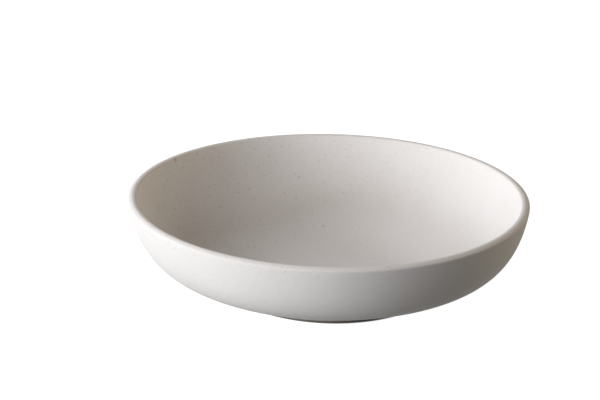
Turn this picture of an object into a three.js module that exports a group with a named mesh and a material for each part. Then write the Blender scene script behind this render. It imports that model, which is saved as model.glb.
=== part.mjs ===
// Deep plate: a round coupe plate of speckled stoneware with a curved wall, a rounded lip
// and a foot ring. One fired clay body carries three coats of glaze: one over the eating
// face and round the lip, one down the outside, and one inside the foot ring. The foot
// itself stays bare where it meets the table.
// Millimetres, +Z up, with the origin in the middle of the plane that the foot stands on.
import * as THREE from 'three';

// Overall sizes.
const RIM_RADIUS = 105; // axis to the outside of the lip
const HEIGHT = 49.4; // table to the top of the lip

// Foot ring.
const FOOT_RADIUS = 56; // axis to the outside of the foot, at the table
const FOOT_WIDTH = 5.6; // outside to inside of the foot, at the table
const FOOT_LEAN = 6; // degrees off upright: the foot narrows toward the table
const FOOT_EDGE_ROUND = 0.6; // rounding of its two bare edges
const SHOULDER_HEIGHT = 5.85; // table to where the foot's outside would meet the wall
const SHOULDER_FILLET = 2; // length of the fillet there, along each side
const RECESS_DEPTH = 3.4; // table to the roof inside the foot ring
const RECESS_FILLET = 1.2; // fillet between that roof and the foot
const GLAZE_LINE = 1.2; // height of bare clay on the foot, above the table

// Wall and base, measured over the glaze.
const WALL_AT_FOOT = 4.8;
const WALL_AT_LIP = 4.55;
const BASE_THICKNESS = 4.2; // roof of the recess to the eating floor
const UNDERSIDE_SLOPE = 15; // degrees above level where the wall leaves the foot
const WALL_LEAN = 11.7; // degrees off upright where the wall reaches the lip
const UNDERSIDE_PULL = 0.527; // how far the wall keeps its slope: share of its run
const LEAN_PULL = 0.825; // how far it keeps its lean: share of its rise

// Lip, where the inner coat rolls over the edge and meets the outer coat.
const LIP_DROP = 4.6; // crest of the lip down to where the two coats meet
const LIP_PROUD = 0.5; // how far the widest place stands out from there
const LIP_FALL = 1.75; // crest down to the widest place
const CREST_IN = 3; // widest place in to the crest
const LIP_ROUND_IN = 1.25; // rounding of the lip's inner edge, down the wall
const SWELL_PULL = 0.45; // how gently the lip swells out: share of that rise
const FALL_PULL = 0.6; // how round its outer edge is: share of its fall
const CREST_PULL = 0.2; // how flat its crest is: share of the way in

// Glaze.
const INNER_COAT = 0.4;
const OUTER_COAT = 0.4;
const BASE_COAT = 0.4;
const BOND = 0.02; // modelled gap between a coat and what it is fused to

// Facets.
const SIDES = 60;
const WALL_STEPS = 9;
const FLOOR_STEPS = 3;
const ROUND_STEPS = 2;
const LIP_STEPS = 4;

const at = (radius, height) => new THREE.Vector2(radius, height);
const heading = (degrees) => {
  const angle = THREE.MathUtils.degToRad(degrees);
  return at(Math.cos(angle), Math.sin(angle));
};
const moved = (point, direction, distance) => point.clone().addScaledVector(direction, distance);
const leftOf = (direction) => at(-direction.y, direction.x);
const atHeight = (point, direction, height) => moved(point, direction, (height - point.y) / direction.y);

// A rounded corner: a curve that leaves the corner's two sides one leg away from it.
function cornerCurve(before, corner, after, leg) {
  const start = moved(corner, before.clone().sub(corner).normalize(), leg);
  const end = moved(corner, after.clone().sub(corner).normalize(), leg);
  return new THREE.QuadraticBezierCurve(start, corner, end);
}
const rounded = (before, corner, after, leg) =>
  cornerCurve(before, corner, after, leg).getPoints(ROUND_STEPS);

// Stations along a visible face: each is a point and the direction from it into the clay,
// which lies to the left of the way the face is traced, or to the right with side = -1.
function stations(curve, steps, side = 1) {
  return Array.from({ length: steps + 1 }, (_, i) => {
    const share = i / steps;
    const into = leftOf(curve.getTangent(share)).multiplyScalar(side);
    return { point: curve.getPoint(share), into, share };
  });
}
// The outline that lies a given depth under a face.
const layer = (face, depth) => face.map(({ point, into }) => moved(point, into, depth));
const reversed = (points) => [...points].reverse();

// Outside of the plate: up the foot from the glaze line, round the shoulder and up the
// wall to just under the lip, where the two coats meet.
const footUp = heading(90 - FOOT_LEAN);
const footOutside = at(FOOT_RADIUS, 0);
const glazeLineOutside = atHeight(footOutside, footUp, GLAZE_LINE);
const shoulder = atHeight(footOutside, footUp, SHOULDER_HEIGHT);
const wallHeading = heading(UNDERSIDE_SLOPE);
const wallStart = moved(shoulder, wallHeading, SHOULDER_FILLET);
const shoulderCurve = cornerCurve(footOutside, shoulder, wallStart, SHOULDER_FILLET);

const leanHeading = heading(90 - WALL_LEAN);
const meeting = at(RIM_RADIUS - LIP_PROUD, HEIGHT - LIP_DROP);
const wallCurve = new THREE.CubicBezierCurve(
  wallStart,
  moved(wallStart, wallHeading, UNDERSIDE_PULL * (meeting.x - wallStart.x)),
  moved(meeting, leanHeading, -LEAN_PULL * (meeting.y - wallStart.y)),
  meeting,
);
const wallFace = stations(wallCurve, WALL_STEPS);
const outsideFace = [
  { point: glazeLineOutside, into: leftOf(footUp) },
  ...stations(shoulderCurve, ROUND_STEPS),
  ...wallFace.slice(1),
];

// Eating face: level in the middle, then a shallow rise into the wall, which runs parallel
// to the outside but for its taper.
const innerWallFace = wallFace.map(({ point, into, share }) => ({
  point: moved(point, into, THREE.MathUtils.lerp(WALL_AT_FOOT, WALL_AT_LIP, share)),
  into: into.clone().negate(),
}));
const floorHeight = RECESS_DEPTH + BASE_THICKNESS;
const floorEnd = innerWallFace[0].point;
const floorCorner = atHeight(floorEnd, wallHeading, floorHeight);
const floorCurve = cornerCurve(at(0, floorHeight), floorCorner, floorEnd, floorCorner.distanceTo(floorEnd));
const innerFace = [
  { point: at(0, floorHeight), into: at(0, -1) },
  ...stations(floorCurve, FLOOR_STEPS, -1),
  ...innerWallFace.slice(1),
];

// Inside of the foot ring: the level roof of the recess, then down the foot to the glaze line.
const footInside = at(FOOT_RADIUS - FOOT_WIDTH, 0);
const recessUp = heading(90 + FOOT_LEAN);
const glazeLineInside = atHeight(footInside, recessUp, GLAZE_LINE);
const recessCorner = atHeight(footInside, recessUp, RECESS_DEPTH);
const recessCentre = at(0, RECESS_DEPTH);
const recessLeg = Math.min(RECESS_FILLET, 0.8 * recessCorner.distanceTo(glazeLineInside));
const recessFace = [
  { point: recessCentre, into: at(0, 1) },
  ...stations(cornerCurve(recessCentre, recessCorner, glazeLineInside, recessLeg), ROUND_STEPS),
  { point: glazeLineInside, into: leftOf(recessUp.clone().negate()) },
];

// Lip: a swell out to its widest place, a soft bevel in to the crest, then a tighter round
// down to the inner wall. With one step to a curve, it serves for what lies under the coat.
const coatEnd = moved(meeting, leanHeading, BOND);
const innerWallTop = innerWallFace.at(-1).point;
const innerCorner = atHeight(innerWallTop, leanHeading, HEIGHT);
const crestIn = Math.min(CREST_IN, 0.75 * (RIM_RADIUS - innerCorner.x));
const lipFall = Math.min(LIP_FALL, 0.5 * LIP_DROP);
const innerLeg = Math.min(LIP_ROUND_IN, 0.9 * innerWallTop.distanceTo(innerCorner));
const widest = at(RIM_RADIUS, HEIGHT - lipFall);
const crest = at(RIM_RADIUS - crestIn, HEIGHT);
const swellReach = SWELL_PULL * (widest.y - coatEnd.y);
const lipCurves = [
  new THREE.CubicBezierCurve(
    coatEnd,
    moved(coatEnd, leanHeading, swellReach),
    moved(widest, at(0, -1), swellReach),
    widest,
  ),
  new THREE.CubicBezierCurve(
    widest,
    moved(widest, at(0, 1), FALL_PULL * lipFall),
    moved(crest, at(1, 0), CREST_PULL * crestIn),
    crest,
  ),
  new THREE.QuadraticBezierCurve(crest, innerCorner, moved(innerCorner, leanHeading, -innerLeg)),
];
const lipFace = (steps) => lipCurves.flatMap((curve, i) => stations(curve, steps).slice(i ? 1 : 0));
const underLip = lipFace(1).slice(1);

// Clay: under every coat by its thickness and the bond, bare round the foot's land.
const clayOutside = layer(outsideFace, OUTER_COAT + BOND);
const clayInside = layer(innerFace, INNER_COAT + BOND);
const clayRecess = layer(recessFace, BASE_COAT + BOND);
const clayFootOutside = atHeight(clayOutside[0], footUp, 0);
const clayFootInside = atHeight(clayRecess.at(-1), recessUp, 0);
const landWidth = clayFootOutside.distanceTo(clayFootInside);
const footLeg = Math.min(FOOT_EDGE_ROUND, 0.8 * GLAZE_LINE, 0.4 * landWidth);
const clayOutline = [
  ...clayRecess,
  ...rounded(clayRecess.at(-1), clayFootInside, clayFootOutside, footLeg),
  ...rounded(clayFootInside, clayFootOutside, clayOutside[0], footLeg),
  ...clayOutside,
  ...layer(underLip, INNER_COAT + BOND),
  ...reversed(clayInside),
];

// Inner coat: over the eating face and the lip, down to the outer coat.
const innerGlazeOutline = [
  ...layer(innerFace, INNER_COAT),
  ...reversed(layer(underLip, INNER_COAT)),
  moved(coatEnd, leftOf(leanHeading), OUTER_COAT),
  ...layer(lipFace(LIP_STEPS), 0),
  ...reversed(layer(innerFace, 0)),
];

const outerGlazeOutline = [
  ...layer(outsideFace, 0),
  ...reversed(layer(outsideFace, OUTER_COAT)),
  outsideFace[0].point,
];

const baseGlazeOutline = [...layer(recessFace, 0), ...reversed(layer(recessFace, BASE_COAT))];

const bareClay = new THREE.MeshStandardMaterial({ color: 0x736c65, roughness: 0.95, metalness: 0 });
const speckledGlaze = new THREE.MeshStandardMaterial({ color: 0xe6e3df, roughness: 0.6, metalness: 0 });
const plainGlaze = new THREE.MeshStandardMaterial({ color: 0xe6e3df, roughness: 0.6, metalness: 0 });

// A piece turned about the plate's axis from its outline in radius and height.
function turned(name, outline, material) {
  const geometry = new THREE.LatheGeometry(outline, SIDES);
  geometry.rotateX(Math.PI / 2);
  const piece = new THREE.Mesh(geometry, material);
  piece.name = name;
  return piece;
}

const plate = new THREE.Group();
plate.name = 'deep_plate';
plate.add(
  turned('clay_body', clayOutline, bareClay),
  turned('inner_glaze', innerGlazeOutline, speckledGlaze),
  turned('outer_glaze', outerGlazeOutline, plainGlaze),
  turned('base_glaze', baseGlazeOutline, plainGlaze),
);

export default plate;
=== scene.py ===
# %% [markdown]
# # A deep plate of speckled stoneware
# The plate is one turned piece of clay with three coats of matt glaze: a speckled one over
# the eating face and round the lip, a plainer one down the outside, and one inside the foot
# ring. The measured model is loaded first. It stays as the frame that every piece sits in,
# and finer pieces, turned from the same section, stand in for its solids.

# %% Load the measured plate
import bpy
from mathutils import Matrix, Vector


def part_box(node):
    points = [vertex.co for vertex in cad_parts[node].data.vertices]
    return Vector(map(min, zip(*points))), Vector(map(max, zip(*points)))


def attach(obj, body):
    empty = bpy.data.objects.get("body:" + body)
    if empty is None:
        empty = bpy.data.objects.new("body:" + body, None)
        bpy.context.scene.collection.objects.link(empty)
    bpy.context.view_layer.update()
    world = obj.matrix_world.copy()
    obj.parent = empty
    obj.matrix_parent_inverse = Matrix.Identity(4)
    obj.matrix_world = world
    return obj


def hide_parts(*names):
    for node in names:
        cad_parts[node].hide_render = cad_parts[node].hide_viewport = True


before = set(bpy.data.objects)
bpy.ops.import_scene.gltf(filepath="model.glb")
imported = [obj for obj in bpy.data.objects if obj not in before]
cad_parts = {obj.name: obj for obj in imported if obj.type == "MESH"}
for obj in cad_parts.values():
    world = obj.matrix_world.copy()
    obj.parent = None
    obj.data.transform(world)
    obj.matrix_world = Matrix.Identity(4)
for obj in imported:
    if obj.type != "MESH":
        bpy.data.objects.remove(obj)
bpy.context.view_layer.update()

import math

import bpy
from mathutils import Matrix, Quaternion, Vector
from mathutils.geometry import interpolate_bezier

print("pieces in the frame:", sorted(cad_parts))

# %% [markdown]
# ## Sizes
# Blender works in metres, and a plate is easier to think about in millimetres, so every size
# is written as millimetres times MM. The two overall sizes come from the frame. Each other
# size stands in the cell that first needs it. They are the measured model's own sizes, apart
# from those of the lip, which is drawn a little tighter here.

# %% Overall sizes
MM = 0.001
lip_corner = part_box("inner_glaze")[1]
RIM_RADIUS = lip_corner.x
HEIGHT = lip_corner.z
print(f"plate {2 * RIM_RADIUS / MM:.1f} mm across, {HEIGHT / MM:.1f} mm high")

# %% [markdown]
# ## Drawing the section
# A turned piece is drawn as half of its section, in radius and height. A curve object could
# be shaped by hand, but points that are worked out from a few sizes are easier to change.
# Straight stretches need only their ends. Corners are rounded by a curve that leaves both
# sides a short leg away from the corner, and the wall is one long curve with a handle at
# each end, as a potter's profile gauge would be cut.


# %% Points and headings
def at(radius, height):
    return Vector((radius, height))


def heading(degrees):
    angle = math.radians(degrees)
    return at(math.cos(angle), math.sin(angle))


def at_height(point, way, height):
    """Where a straight line from a point comes to a given height."""
    return point + way * ((height - point.y) / way.y)


print("a heading of 90 degrees points up:", [round(v, 3) for v in heading(90)])

# %% Rounded corners
ROUND_STEPS = 8


def bend(start, corner, end, steps=ROUND_STEPS):
    """Points of a curve from start to end that rounds the corner between them."""
    toward = 2 / 3
    return interpolate_bezier(
        start, start.lerp(corner, toward), end.lerp(corner, toward), end, steps + 1
    )


def rounded(before, corner, after, leg, steps=ROUND_STEPS):
    """The same, for a corner whose curve starts and ends one leg away from it."""
    start = corner + (before - corner).normalized() * leg
    end = corner + (after - corner).normalized() * leg
    return bend(start, corner, end, steps)


print("corners are rounded in", ROUND_STEPS, "steps")

# %% Lines and layers
SAME_POINT = 0.001 * MM


def joined(*stretches):
    """One line of points from several stretches, with each meeting point kept once."""
    line = []
    for stretch in stretches:
        for point in stretch:
            if not line or (point - line[-1]).length > SAME_POINT:
                line.append(point)
    return line


def normals(face):
    """The direction that stands square to a face, on its left, at each of its points."""
    square = []
    for i in range(len(face)):
        along = face[min(i + 1, len(face) - 1)] - face[max(i - 1, 0)]
        along.normalize()
        square.append(at(-along.y, along.x))
    return square


def layer(face, depth):
    """The line that lies a given depth to the left of a face."""
    return [point + normal * depth for point, normal in zip(face, normals(face))]


print(f"points closer than {SAME_POINT / MM:.3f} mm count as one")

# %% [markdown]
# ## The three faces that can be seen and touched
# The outside climbs from the glaze line on the foot, round the shoulder and up the wall to
# the crease under the lip. The eating face is level in the middle, rises gently and then
# runs parallel to the outside but for a slight taper, which is what keeps a fired wall from
# cracking. The recess is the shallow hollow inside the foot ring. Each could be drawn freely
# by eye, but a wall that is made from the outside's own line is as thick as it should be.

# %% The outside
FOOT_RADIUS = 56 * MM
FOOT_LEAN = 6
GLAZE_LINE = 1.2 * MM
SHOULDER_HEIGHT = 5.85 * MM
SHOULDER_FILLET = 2 * MM
UNDERSIDE_SLOPE = 15
UNDERSIDE_PULL = 0.527
WALL_LEAN = 11.7
LEAN_PULL = 0.825
LIP_DROP = 4.6 * MM
LIP_PROUD = 0.5 * MM
WALL_STEPS = 56

foot_up = heading(90 - FOOT_LEAN)
foot_outside = at(FOOT_RADIUS, 0)
glaze_line_outside = at_height(foot_outside, foot_up, GLAZE_LINE)
shoulder = at_height(foot_outside, foot_up, SHOULDER_HEIGHT)
wall_way = heading(UNDERSIDE_SLOPE)
wall_start = shoulder + wall_way * SHOULDER_FILLET
lean_way = heading(90 - WALL_LEAN)
crease = at(RIM_RADIUS - LIP_PROUD, HEIGHT - LIP_DROP)
wall_line = interpolate_bezier(
    wall_start,
    wall_start + wall_way * UNDERSIDE_PULL * (crease.x - wall_start.x),
    crease - lean_way * LEAN_PULL * (crease.y - wall_start.y),
    crease,
    WALL_STEPS + 1,
)
outside = joined(
    [glaze_line_outside],
    rounded(foot_outside, shoulder, wall_start, SHOULDER_FILLET),
    wall_line,
)
print("outside drawn with", len(outside), "points")

# %% The eating face
WALL_AT_FOOT = 4.8 * MM
WALL_AT_LIP = 4.55 * MM
RECESS_DEPTH = 3.4 * MM
BASE_THICKNESS = 4.2 * MM
FLOOR_STEPS = 20

inner_wall = []
for i, (point, normal) in enumerate(zip(wall_line, normals(wall_line))):
    share = i / WALL_STEPS
    thickness = WALL_AT_FOOT + (WALL_AT_LIP - WALL_AT_FOOT) * share
    inner_wall.append(point + normal * thickness)
floor_height = RECESS_DEPTH + BASE_THICKNESS
floor_centre = at(0, floor_height)
floor_corner = at_height(inner_wall[0], wall_way, floor_height)
floor_leg = (inner_wall[0] - floor_corner).length
eating_face = joined(
    [floor_centre],
    rounded(floor_centre, floor_corner, inner_wall[0], floor_leg, FLOOR_STEPS),
    inner_wall,
)
print(f"the eating floor is {(HEIGHT - floor_height) / MM:.1f} mm below the lip")

# %% The recess inside the foot ring
FOOT_WIDTH = 5.6 * MM
RECESS_FILLET = 1.2 * MM

foot_inside = at(FOOT_RADIUS - FOOT_WIDTH, 0)
recess_up = heading(90 + FOOT_LEAN)
glaze_line_inside = at_height(foot_inside, recess_up, GLAZE_LINE)
recess_corner = at_height(foot_inside, recess_up, RECESS_DEPTH)
recess_centre = at(0, RECESS_DEPTH)
recess = joined(
    [recess_centre],
    rounded(recess_centre, recess_corner, glaze_line_inside, RECESS_FILLET),
    [glaze_line_inside],
)
print("recess drawn with", len(recess), "points")

# %% [markdown]
# ## From faces to closed outlines
# Each piece is the space between two of these lines. The clay lies under every coat by its
# thickness and comes to the surface only on the foot. The inner coat rolls over the lip: it
# swells a little to the widest place, falls in to the crest and meets the outer coat in a
# crease below. Where a coat stops on the foot, its edge is rolled, because melted glaze
# draws itself round. A Solidify modifier could thicken the faces too, but it leaves its
# edges square.

# %% The lip
BOND = 0.02 * MM
LIP_FALL = 1.35 * MM
CREST_IN = 2.4 * MM
LIP_ROUND_IN = 0.9 * MM
LEAN_HOLD = 0.6
SWELL_PULL = 0.2
FALL_PULL = 0.5
CREST_PULL = 0.2
LIP_STEPS = 14

coat_end = crease + lean_way * BOND
widest = at(RIM_RADIUS, HEIGHT - LIP_FALL)
crest = at(RIM_RADIUS - CREST_IN, HEIGHT)
inner_corner = at_height(inner_wall[-1], lean_way, HEIGHT)
inner_end = inner_corner - lean_way * LIP_ROUND_IN
swell = widest.y - coat_end.y
lip = joined(
    interpolate_bezier(
        coat_end,
        coat_end + lean_way * LEAN_HOLD * swell,
        widest - at(0, SWELL_PULL * swell),
        widest,
        LIP_STEPS + 1,
    ),
    interpolate_bezier(
        widest,
        widest + at(0, FALL_PULL * LIP_FALL),
        crest + at(CREST_PULL * CREST_IN, 0),
        crest,
        LIP_STEPS + 1,
    ),
    bend(crest, inner_corner, inner_end),
)
under_lip = [coat_end, widest, crest, inner_end]
print(f"the lip is {(RIM_RADIUS - inner_corner.x) / MM:.1f} mm wide")

# %% Outline of the clay
COAT = 0.4 * MM
FOOT_EDGE_ROUND = 0.6 * MM

clay_outside = layer(outside, COAT + BOND)
clay_inside = layer(eating_face, -COAT - BOND)
clay_recess = layer(recess, COAT + BOND)
clay_foot_outside = at_height(clay_outside[0], foot_up, 0)
clay_foot_inside = at_height(clay_recess[-1], recess_up, 0)
clay_outline = joined(
    clay_recess,
    rounded(clay_recess[-1], clay_foot_inside, clay_foot_outside, FOOT_EDGE_ROUND),
    rounded(clay_foot_inside, clay_foot_outside, clay_outside[0], FOOT_EDGE_ROUND),
    clay_outside,
    layer(under_lip, COAT + BOND)[1:],
    reversed(clay_inside),
)
print("clay outline has", len(clay_outline), "points")

# %% Outline of the inner coat
inner_outline = joined(
    layer(eating_face, -COAT),
    reversed(layer(under_lip, COAT)),
    lip,
    reversed(eating_face),
)
print("inner coat outline has", len(inner_outline), "points")

# %% Outlines of the outer coat and the recess coat
COAT_EDGE_ROUND = 0.17 * MM
EDGE_STEPS = 4


def rolled(first, second, before, after):
    """The rolled edge of a coat, round its two corners first and second."""
    return joined(
        rounded(before, first, second, COAT_EDGE_ROUND, EDGE_STEPS),
        rounded(first, second, after, COAT_EDGE_ROUND, EDGE_STEPS),
    )


outer_under = layer(outside, COAT)
outer_outline = joined(
    outside[1:],
    reversed(outer_under[1:]),
    rolled(outer_under[0], outside[0], outer_under[1], outside[1]),
)
recess_under = layer(recess, COAT)
recess_outline = joined(
    recess[:-1],
    rolled(recess[-1], recess_under[-1], recess[-2], recess_under[-2]),
    reversed(recess_under[:-1]),
)
print("outer and recess outlines have", len(outer_outline), len(recess_outline), "points")

# %% [markdown]
# ## Turning the outlines
# On the wheel, a plate is one section turned about its middle. Blender's Screw modifier does
# that too, but it gives perfect rings. Here each ring of points is placed in code, so that
# the plate can be very slightly out of true, as a fired one is: its rim is warped up on two
# sides, leans to the left and is a little oval, and the edges of the coats wander on the
# foot. The same unevenness moves every piece, which keeps the coats on the clay.

# %% The small faults of firing
OUT_OF_ROUND = 0.12 * MM
OVAL_PHASE = 3.4
LIP_WARP = 0.6 * MM
WARP_WAY = math.radians(25)
SIDE_LEAN = 0.56 * MM
EDGE_WAVES = ((5, 1.1, 0.45), (11, 2.3, 0.30), (29, 0.2, 0.25))


def uneven(radius, height, angle):
    """A point of the turned plate, moved by the small faults of firing."""
    up = height / HEIGHT
    radius += OUT_OF_ROUND * up * up * (radius / RIM_RADIUS) * math.cos(2 * angle + OVAL_PHASE)
    out = radius / RIM_RADIUS
    height += LIP_WARP * up * up * out * out * math.cos(angle - WARP_WAY) ** 2
    side = radius * math.cos(angle) - SIDE_LEAN * up * up
    return Vector((side, radius * math.sin(angle), height))


def wander(angle):
    """How far a coat's edge strays at one place round the plate, from -1 to 1. Each wave has
    its count round the plate, where it starts, and its share."""
    return sum(share * math.sin(count * angle + start) for count, start, share in EDGE_WAVES)


print("the coats' edges wander in", len(EDGE_WAVES), "waves")

# %% A turned piece
SIDES = 288
ON_AXIS = 0.0001 * MM
EDGE_WANDER = 0.16 * MM
EDGE_REACH = 1.6 * MM
SHARP_ANGLE = math.radians(40)


def ring_points(point, edge_height):
    """The points that one point of an outline leaves as it turns, or a single one on the axis.
    Those near edge_height follow the coat's wandering edge."""
    count = 1 if point.x < ON_AXIS else SIDES
    ring = []
    for k in range(count):
        angle = 2 * math.pi * k / SIDES
        height = point.y
        if edge_height is not None:
            near = max(0.0, 1 - abs(height - edge_height) / EDGE_REACH)
            height += EDGE_WANDER * near * wander(angle)
        ring.append(uneven(point.x, height, angle))
    return ring


def ring_faces(ring, after):
    """The faces between two rings of vertex numbers, either of which may be a single point."""
    faces = []
    for k in range(SIDES):
        n = (k + 1) % SIDES
        if len(ring) == 1:
            faces.append((ring[0], after[n], after[k]))
        elif len(after) == 1:
            faces.append((ring[k], ring[n], after[0]))
        else:
            faces.append((ring[k], ring[n], after[n], after[k]))
    return faces


def turned(name, outline, edge_height=None):
    """A piece turned from an outline, which ends on the axis or closes on itself."""
    verts, faces, rings = [], [], []
    for point in outline:
        ring = ring_points(point, edge_height)
        rings.append(range(len(verts), len(verts) + len(ring)))
        verts.extend(ring)
    closes = len(rings[0]) == SIDES
    for ring, after in zip(rings, rings[1:] + ([rings[0]] if closes else [])):
        faces.extend(ring_faces(ring, after))
    mesh = bpy.data.meshes.new(name)
    mesh.from_pydata(verts, [], faces)
    mesh.shade_smooth()
    mesh.set_sharp_from_angle(angle=SHARP_ANGLE)
    piece = bpy.data.objects.new(name, mesh)
    bpy.context.scene.collection.objects.link(piece)
    print(name, "has", len(faces), "faces")
    return piece


# %% The four pieces
clay = turned("fired_clay", clay_outline)
inner_coat = turned("inner_coat", inner_outline)
outer_coat = turned("outer_coat", outer_outline, GLAZE_LINE)
recess_coat = turned("recess_coat", recess_outline, GLAZE_LINE)
for piece, node, slot in (
    (clay, "clay_body", "bare_clay"),
    (inner_coat, "inner_glaze", "speckled_glaze"),
    (outer_coat, "outer_glaze", "outer_glaze"),
    (recess_coat, "base_glaze", "base_glaze"),
):
    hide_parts(node)
    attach(piece, "root")

# %% [markdown]
# ## Writing finishes as expressions
# A finish is a small recipe of nodes. Wiring them one by one hides the idea, so a class here
# wraps a node's output and lets ordinary sums stand for Math nodes. Every other node comes
# from one method, which takes the node's type, its settings and what goes into its sockets.


# %% A value in a finish
class Value:
    """One output of a node. Sums of values add the Math nodes that they need."""

    def __init__(self, tree, socket):
        self.tree = tree
        self.socket = socket

    @classmethod
    def node(cls, tree, kind, settings=None, sockets=None, out=0):
        made = tree.nodes.new(kind)
        for name, setting in (settings or {}).items():
            setattr(made, name, setting)
        for name, value in (sockets or {}).items():
            if isinstance(value, Value):
                tree.links.new(value.socket, made.inputs[name])
            else:
                made.inputs[name].default_value = value
        return cls(tree, made.outputs[out])

    def sum(self, operation, first, second, clamp=False):
        settings = {"operation": operation, "use_clamp": clamp}
        return Value.node(self.tree, "ShaderNodeMath", settings, {0: first, 1: second})

    def __add__(self, other):
        return self.sum("ADD", self, other)

    __radd__ = __add__

    def __sub__(self, other):
        return self.sum("SUBTRACT", self, other)

    def __rsub__(self, other):
        return self.sum("SUBTRACT", other, self)

    def __mul__(self, other):
        return self.sum("MULTIPLY", self, other)

    __rmul__ = __mul__

    def __truediv__(self, other):
        return self.sum("DIVIDE", self, other)

    def clamped(self):
        return self.sum("ADD", self, 0.0, clamp=True)

    def feeds(self, shader, name):
        self.tree.links.new(self.socket, shader.inputs[name])


print("values ready")

# %% Blends, clouds and specks
CLOUD_FINENESS = 0.55
SPECK_SOFTNESS = 0.45


def blend(mask, plain, over):
    """One colour over another, by a mask."""
    sockets = {"Factor": mask, 6: plain, 7: over}
    return Value.node(mask.tree, "ShaderNodeMix", {"data_type": "RGBA"}, sockets, out=2)


def cloud(place, size, detail=3.0):
    """Soft noise from 0 to 1, whose patches are about one size across."""
    sockets = {"Vector": place, "Scale": 1 / size, "Detail": detail, "Roughness": CLOUD_FINENESS}
    return Value.node(place.tree, "ShaderNodeTexNoise", {}, sockets)


def specks(place, spacing, radius):
    """A mask of round specks of mixed sizes. The surface cuts through a scatter of grains in
    the glaze, so it meets some in the middle, others near the edge, and most not at all."""
    settings = {"feature": "F1"}
    sockets = {"Vector": place, "Scale": 1 / spacing, "Randomness": 1.0}
    grain = Value.node(place.tree, "ShaderNodeTexVoronoi", settings, sockets, out="Distance")
    return ((radius - grain * spacing) / (SPECK_SOFTNESS * radius)).clamped()


def start_finish(name):
    """A new material, with its shader and the place of each of its points."""
    finish = bpy.data.materials.new(name)
    finish.use_nodes = True
    tree = finish.node_tree
    place = Value.node(tree, "ShaderNodeTexCoord", out="Object")
    return finish, tree.nodes["Principled BSDF"], place


def along_axis(place, axis):
    return Value.node(place.tree, "ShaderNodeSeparateXYZ", {}, {"Vector": place}, out=axis)


def bumped(height, strength, distance):
    sockets = {"Strength": strength, "Distance": distance, "Height": height}
    return Value.node(height.tree, "ShaderNodeBump", {}, sockets, out="Normal")


print("finish tools ready")

# %% [markdown]
# ## The glaze
# A matt stoneware glaze is off-white, faintly cloudy and finely mottled. Iron bleeds up
# through it from the clay as fine pepper, specks and soft freckles, with now and then a
# bluish grain, and on this plate they lie thicker on the left. The glaze is a little thinner
# and warmer where it breaks over the lip. Low on the foot it is darkened by painted shade,
# where the glaze faces the shaded table.
# Such marks could be painted on an image, but grains in space look scattered rather than
# printed, and fit any shape. One recipe serves all three coats, with more or less speckle.

# %% Glaze colour
GLAZE = (0.800, 0.772, 0.742, 1.0)
GLAZE_DEEP = (0.745, 0.712, 0.676, 1.0)
GLAZE_THIN = (0.720, 0.668, 0.606, 1.0)
# painted shade: the dark colour laid over the glaze low on the foot, where it faces the shaded
# table
GLAZE_PAINTED_SHADE = (0.240, 0.216, 0.192, 1.0)
MIDDLE = 0.5
CLOUD_SIZE = 22 * MM
CLOUD_FROM = 0.35
CLOUD_SHARE = 0.9
MOTTLE_SHARE = 1.5
THIN_FROM = HEIGHT - 2.2 * MM
THIN_OVER = 1.6 * MM
THIN_SHARE = 0.15
PAINTED_SHADE_HEIGHT = 2.6 * MM
PAINTED_SHADE_SHARE = 0.9


def glaze_colour(place, mottle):
    """The colour of the glaze: cloudy, warmer over the lip, with painted shade low on the foot.
    """
    height = along_axis(place, "Z")
    clouds = (cloud(place, CLOUD_SIZE) - CLOUD_FROM) * CLOUD_SHARE
    depth = (clouds + (mottle - MIDDLE) * MOTTLE_SHARE).clamped()
    over_lip = ((height - THIN_FROM) / THIN_OVER).clamped()
    # painted shade: the glaze darkens over the lowest few millimetres above the glaze line
    painted_shade_by_foot = ((GLAZE_LINE + PAINTED_SHADE_HEIGHT - height) / PAINTED_SHADE_HEIGHT).clamped()
    colour = blend(depth, GLAZE, GLAZE_DEEP)
    colour = blend(over_lip * THIN_SHARE, colour, GLAZE_THIN)
    return blend(painted_shade_by_foot * PAINTED_SHADE_SHARE, colour, GLAZE_PAINTED_SHADE)


print("glaze colour", GLAZE[:3], "to", GLAZE_DEEP[:3])

# %% Specks in the glaze
IRON = (0.120, 0.080, 0.055, 1.0)
COOL_BLUE = (0.280, 0.360, 0.420, 1.0)
PEPPER = {"spacing": 1.5 * MM, "radius": 0.34 * MM}
PEPPER_SHARE = 0.15
IRON_SPECK = {"spacing": 3.8 * MM, "radius": 0.56 * MM}
IRON_SHARE = 0.25
FRECKLE = {"spacing": 7.0 * MM, "radius": 1.0 * MM}
FRECKLE_SHARE = 0.14
COOL_GRAIN = {"spacing": 24 * MM, "radius": 1.5 * MM}
COOL_SHARE = 0.40
MIDDLE_SPECKLE = 0.65
SPECKLE_FADE = 150 * MM


def speckled(place, colour, iron, speckle):
    """The same colour with specks over it, thicker on the left and by a share, speckle."""
    thick = (MIDDLE_SPECKLE - along_axis(place, "X") / SPECKLE_FADE).clamped() * speckle
    colour = blend(specks(place, **PEPPER) * thick * PEPPER_SHARE, colour, IRON)
    colour = blend(iron * thick * IRON_SHARE, colour, IRON)
    colour = blend(specks(place, **FRECKLE) * thick * FRECKLE_SHARE, colour, IRON)
    return blend(specks(place, **COOL_GRAIN) * thick * COOL_SHARE, colour, COOL_BLUE)


print(f"iron specks up to {2 * IRON_SPECK['radius'] / MM:.1f} mm across")

# %% Glaze recipe
MOTTLE_SIZE = 1.3 * MM
SKIN_SIZE = 5 * MM
GLAZE_ROUGHNESS = 0.72
MOTTLE_ROUGHNESS = 0.16
IRON_ROUGHNESS = 0.10
GLAZE_SHINE = 0.13
SKIN_RELIEF = 0.6
MOTTLE_RELIEF = 0.25
IRON_RELIEF = 0.2
GLAZE_BUMP = {"strength": 0.25, "distance": 0.08 * MM}


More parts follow.
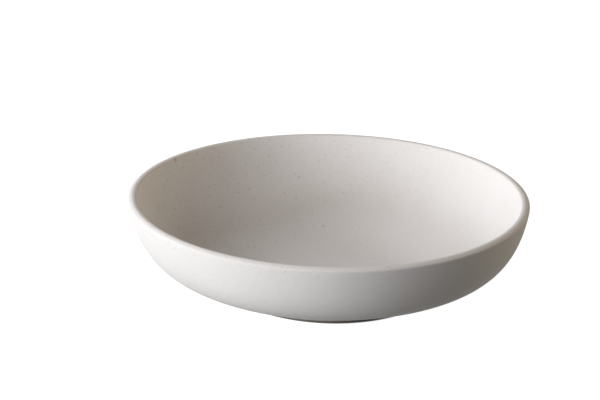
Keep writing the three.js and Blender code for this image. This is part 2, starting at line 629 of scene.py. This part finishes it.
def glaze(name, speckle):
    finish, shader, place = start_finish(name)
    mottle = cloud(place, MOTTLE_SIZE, detail=2.0)
    iron = specks(place, **IRON_SPECK)
    colour = speckled(place, glaze_colour(place, mottle), iron, speckle)
    colour.feeds(shader, "Base Color")
    roughness = GLAZE_ROUGHNESS + (mottle - MIDDLE) * MOTTLE_ROUGHNESS + iron * IRON_ROUGHNESS
    roughness.feeds(shader, "Roughness")
    shader.inputs["Specular IOR Level"].default_value = GLAZE_SHINE
    skin = cloud(place, SKIN_SIZE) * SKIN_RELIEF
    skin = skin + mottle * MOTTLE_RELIEF - iron * IRON_RELIEF
    bumped(skin, **GLAZE_BUMP).feeds(shader, "Normal")
    print(name, "uses", len(finish.node_tree.nodes), "nodes")
    return finish


inner_coat.data.materials.append(glaze("speckled matt glaze", speckle=1.0))
outer_coat.data.materials.append(glaze("outer matt glaze", speckle=0.2))
recess_coat.data.materials.append(glaze("recess matt glaze", speckle=0.6))

# %% [markdown]
# ## The bare clay
# The foot is wiped clean before firing so that the plate doesn't stick to the kiln shelf.
# This stoneware is a dark grey-brown, dry and grainy, with pale and dark grains of grog, and
# it is toasted a little darker beside the edge of the glaze. A single brown would look like
# plastic when the plate is turned over, so the grains get the same scatter as the specks.

# %% Clay recipe
CLAY = (0.170, 0.150, 0.130, 1.0)
CLAY_TOASTED = (0.105, 0.090, 0.078, 1.0)
GROG_PALE = (0.260, 0.235, 0.205, 1.0)
PALE_GROG = {"spacing": 1.6 * MM, "radius": 0.34 * MM}
PALE_SHARE = 0.6
DARK_GROG = {"spacing": 2.6 * MM, "radius": 0.40 * MM}
DARK_SHARE = 0.7
DRIFT_SIZE = 9 * MM
DRIFT_FROM = 0.4
DRIFT_SHARE = 0.5
TOAST_SHARE = 0.6
GRAIN_SIZE = 0.7 * MM
CLAY_ROUGHNESS = 0.86
GRAIN_ROUGHNESS = 0.12
CLAY_BUMP = {"strength": 0.6, "distance": 0.15 * MM}


def bare_clay(name):
    finish, shader, place = start_finish(name)
    drift = cloud(place, DRIFT_SIZE)
    grain = cloud(place, GRAIN_SIZE, detail=4.0)
    by_glaze = ((along_axis(place, "Z") - 0.5 * GLAZE_LINE) / GLAZE_LINE).clamped()
    toasted = (by_glaze * TOAST_SHARE + (drift - DRIFT_FROM) * DRIFT_SHARE).clamped()
    colour = blend(toasted, CLAY, CLAY_TOASTED)
    colour = blend(specks(place, **PALE_GROG) * PALE_SHARE, colour, GROG_PALE)
    colour = blend(specks(place, **DARK_GROG) * DARK_SHARE, colour, IRON)
    colour.feeds(shader, "Base Color")
    roughness = CLAY_ROUGHNESS + grain * GRAIN_ROUGHNESS
    roughness.feeds(shader, "Roughness")
    bumped(grain, **CLAY_BUMP).feeds(shader, "Normal")
    print(name, "uses", len(finish.node_tree.nodes), "nodes")
    return finish


clay.data.materials.append(bare_clay("bare stoneware"))

# %% [markdown]
# ## Camera
# The plate was photographed from about 20 degrees above the table with a long lens. A
# camera could be aimed by a constraint, but that can't put a point on a chosen pixel. So it
# stands that far up, looks at the middle of the rim, is rolled by the slight tilt of the
# picture, and is then turned a little until the middle of the rim lands on the pixel where
# the photograph has it.

# %% Camera
IMAGE = (600, 400)
RIM_CENTRE_PIXEL = (329.75, 193.79)
CAMERA_DISTANCE = 900 * MM
CAMERA_ELEVATION = math.radians(19.69)
CAMERA_ROLL = math.radians(1.42)
FOCAL_PIXELS = 1715.7
SENSOR = 36.0

lens = bpy.data.cameras.new("camera")
lens.sensor_width = SENSOR
lens.lens = SENSOR * FOCAL_PIXELS / IMAGE[0]
camera = bpy.data.objects.new("camera", lens)
bpy.context.scene.collection.objects.link(camera)
bpy.context.scene.camera = camera

rim_centre = Vector((0, 0, HEIGHT))
toward_camera = Vector((0, -math.cos(CAMERA_ELEVATION), math.sin(CAMERA_ELEVATION)))
aim = toward_camera.to_track_quat("Z", "Y")
roll = Quaternion((0, 0, 1), CAMERA_ROLL)
through_pixel = Vector((
    RIM_CENTRE_PIXEL[0] - IMAGE[0] / 2,
    IMAGE[1] / 2 - RIM_CENTRE_PIXEL[1],
    -FOCAL_PIXELS,
))
turn = through_pixel.rotation_difference(Vector((0, 0, -1)))
facing = (aim @ roll @ turn).to_matrix().to_4x4()
camera.matrix_world = Matrix.Translation(rim_centre + toward_camera * CAMERA_DISTANCE) @ facing
print(f"camera {lens.lens:.1f} mm at {[round(v, 3) for v in camera.matrix_world.translation]}")

# %% [markdown]
# ## Floor and light
# The plate stands on white paper. A low window and two softboxes, one in front and one
# behind, light it from the left, as the shading round the outside shows. Two weak warm fills,
# overhead and on the right, keep the form of the shaded side. Stronger lamps could bleach the
# paper, but they would bleach the plate too. So the paper and the world are white to the
# camera and in reflections, and dim to everything else, and the plate still casts its shadow.
# The paper sends up a little light, less of it in the plate's shade, and has a thin painted
# contact shadow where the foot touches it. From below it is clear, so that the underside can
# be looked at.

# %% Floor
FLOOR_HALF = 3.0

floor_mesh = bpy.data.meshes.new("floor")
floor_corners = [
    (-FLOOR_HALF, -FLOOR_HALF, 0),
    (FLOOR_HALF, -FLOOR_HALF, 0),
    (FLOOR_HALF, FLOOR_HALF, 0),
    (-FLOOR_HALF, FLOOR_HALF, 0),
]
floor_mesh.from_pydata(floor_corners, [], [(0, 1, 2, 3)])
floor = bpy.data.objects.new("floor", floor_mesh)
bpy.context.scene.collection.objects.link(floor)
print(f"floor {2 * FLOOR_HALF:.1f} m across")


# %% Rays that show the background
def seen_directly(tree):
    """1 on rays from the camera, and on mirror and glass rays, which show the background too."""
    rays = [
        Value.node(tree, "ShaderNodeLightPath", out=name)
        for name in ("Is Camera Ray", "Is Glossy Ray", "Is Transmission Ray")
    ]
    return (rays[0] + rays[1] + rays[2]).clamped()


def added(first, second):
    return Value.node(first.tree, "ShaderNodeAddShader", {}, {0: first, 1: second})


print("background tools ready")

# %% White paper
WHITE = (1.0, 1.0, 1.0, 1.0)
PAINTED_SHADOW_BLACK = (0.0, 0.0, 0.0, 1.0)
PAPER_GREY = (0.25, 0.25, 0.25, 1.0)
SHADE_GREY = (0.42, 0.42, 0.42, 1.0)
FLOOR_GLOW = 0.95
FLOOR_LIFT = 0.088
SHADE_FROM = 40 * MM
SHADE_WIDTH = 120 * MM
# painted contact shadow: a dark ring in the paper's glow round the foot, set a little to the
# right, away from the lamps
PAINTED_CONTACT_SHADOW_CENTRE = (1.4 * MM, 0, 0)
PAINTED_CONTACT_SHADOW_RADIUS = FOOT_RADIUS - 0.5 * MM
PAINTED_CONTACT_SHADOW_SOFTNESS = 0.8 * MM

paper = bpy.data.materials.new("white paper")
paper.use_nodes = True
tree = paper.node_tree
tree.nodes.clear()
place = Value.node(tree, "ShaderNodeTexCoord", out="Object")
ends = {0: place, 1: PAINTED_CONTACT_SHADOW_CENTRE}
away = Value.node(tree, "ShaderNodeVectorMath", {"operation": "DISTANCE"}, ends, out="Value")
lamp_side = ((SHADE_FROM - along_axis(place, "X")) / SHADE_WIDTH).clamped()
outside_painted_contact_shadow = ((away - PAINTED_CONTACT_SHADOW_RADIUS) / PAINTED_CONTACT_SHADOW_SOFTNESS).clamped()

dull = Value.node(tree, "ShaderNodeBsdfDiffuse", {}, {"Color": PAPER_GREY})
lift_light = {"Color": blend(lamp_side, SHADE_GREY, WHITE), "Strength": FLOOR_LIFT}
lift = Value.node(tree, "ShaderNodeEmission", {}, lift_light)
glow_light = {
    # painted contact shadow: the glow turns black inside the ring by the foot
    "Color": blend(outside_painted_contact_shadow, PAINTED_SHADOW_BLACK, WHITE),
    "Strength": seen_directly(tree) * FLOOR_GLOW,
}
glow = Value.node(tree, "ShaderNodeEmission", {}, glow_light)
top = added(added(dull, lift), glow)
below = Value.node(tree, "ShaderNodeNewGeometry", out="Backfacing")
clear = Value.node(tree, "ShaderNodeBsdfTransparent")
surface = Value.node(tree, "ShaderNodeMixShader", {}, {0: below, 1: top, 2: clear})
surface.feeds(tree.nodes.new("ShaderNodeOutputMaterial"), "Surface")
floor.data.materials.append(paper)
print("white paper uses", len(tree.nodes), "nodes")

# %% World
ROOM_LEVEL = 0.04

world = bpy.data.worlds.new("room")
world.use_nodes = True
bpy.context.scene.world = world
background = world.node_tree.nodes["Background"]
background.inputs["Color"].default_value = WHITE
level = seen_directly(world.node_tree) * (1 - ROOM_LEVEL) + ROOM_LEVEL
level.feeds(background, "Strength")
print("room light level", ROOM_LEVEL)

# %% Lamps
LAMP_DISTANCE = 1.5
WINDOW_LIGHT = (0.933, 0.959, 1.0)
FRONT_LIGHT = (0.978, 0.974, 1.0)
BACK_LIGHT = (0.908, 0.934, 1.0)
CEILING_LIGHT = (1.0, 0.869, 0.757)
WALL_LIGHT = (1.0, 0.839, 0.558)


def soft_lamp(name, around, above, size, power, colour):
    """A soft light, placed by degrees round from the camera's side and above the table."""
    lamp = bpy.data.lights.new(name, "AREA")
    lamp.shape = "RECTANGLE"
    lamp.size, lamp.size_y = size
    lamp.energy = power
    lamp.color = colour
    piece = bpy.data.objects.new(name, lamp)
    bpy.context.scene.collection.objects.link(piece)
    turn, lift = math.radians(around), math.radians(above)
    level = Vector((math.sin(turn), -math.cos(turn), 0))
    way = level * math.cos(lift) + Vector((0, 0, math.sin(lift)))
    piece.location = rim_centre + way * LAMP_DISTANCE
    piece.rotation_euler = way.to_track_quat("Z", "Y").to_euler()
    print(name, "stands at", [round(v, 2) for v in piece.location])


soft_lamp("window", -60, 8, size=(1.0, 0.5), power=18.0, colour=WINDOW_LIGHT)
soft_lamp("front softbox", -45, 26, size=(1.0, 0.6), power=8.7, colour=FRONT_LIGHT)
soft_lamp("back softbox", -130, 32, size=(0.8, 0.6), power=8.8, colour=BACK_LIGHT)
soft_lamp("overhead fill", 90, 65, size=(0.8, 0.8), power=3.3, colour=CEILING_LIGHT)
soft_lamp("right fill", 113, 8, size=(0.8, 0.4), power=4.2, colour=WALL_LIGHT)

# %% [markdown]
# ## Finish
# The picture uses the plain Standard view, so that a colour renders as it is written.

# %% View
bpy.context.scene.view_settings.view_transform = "Standard"
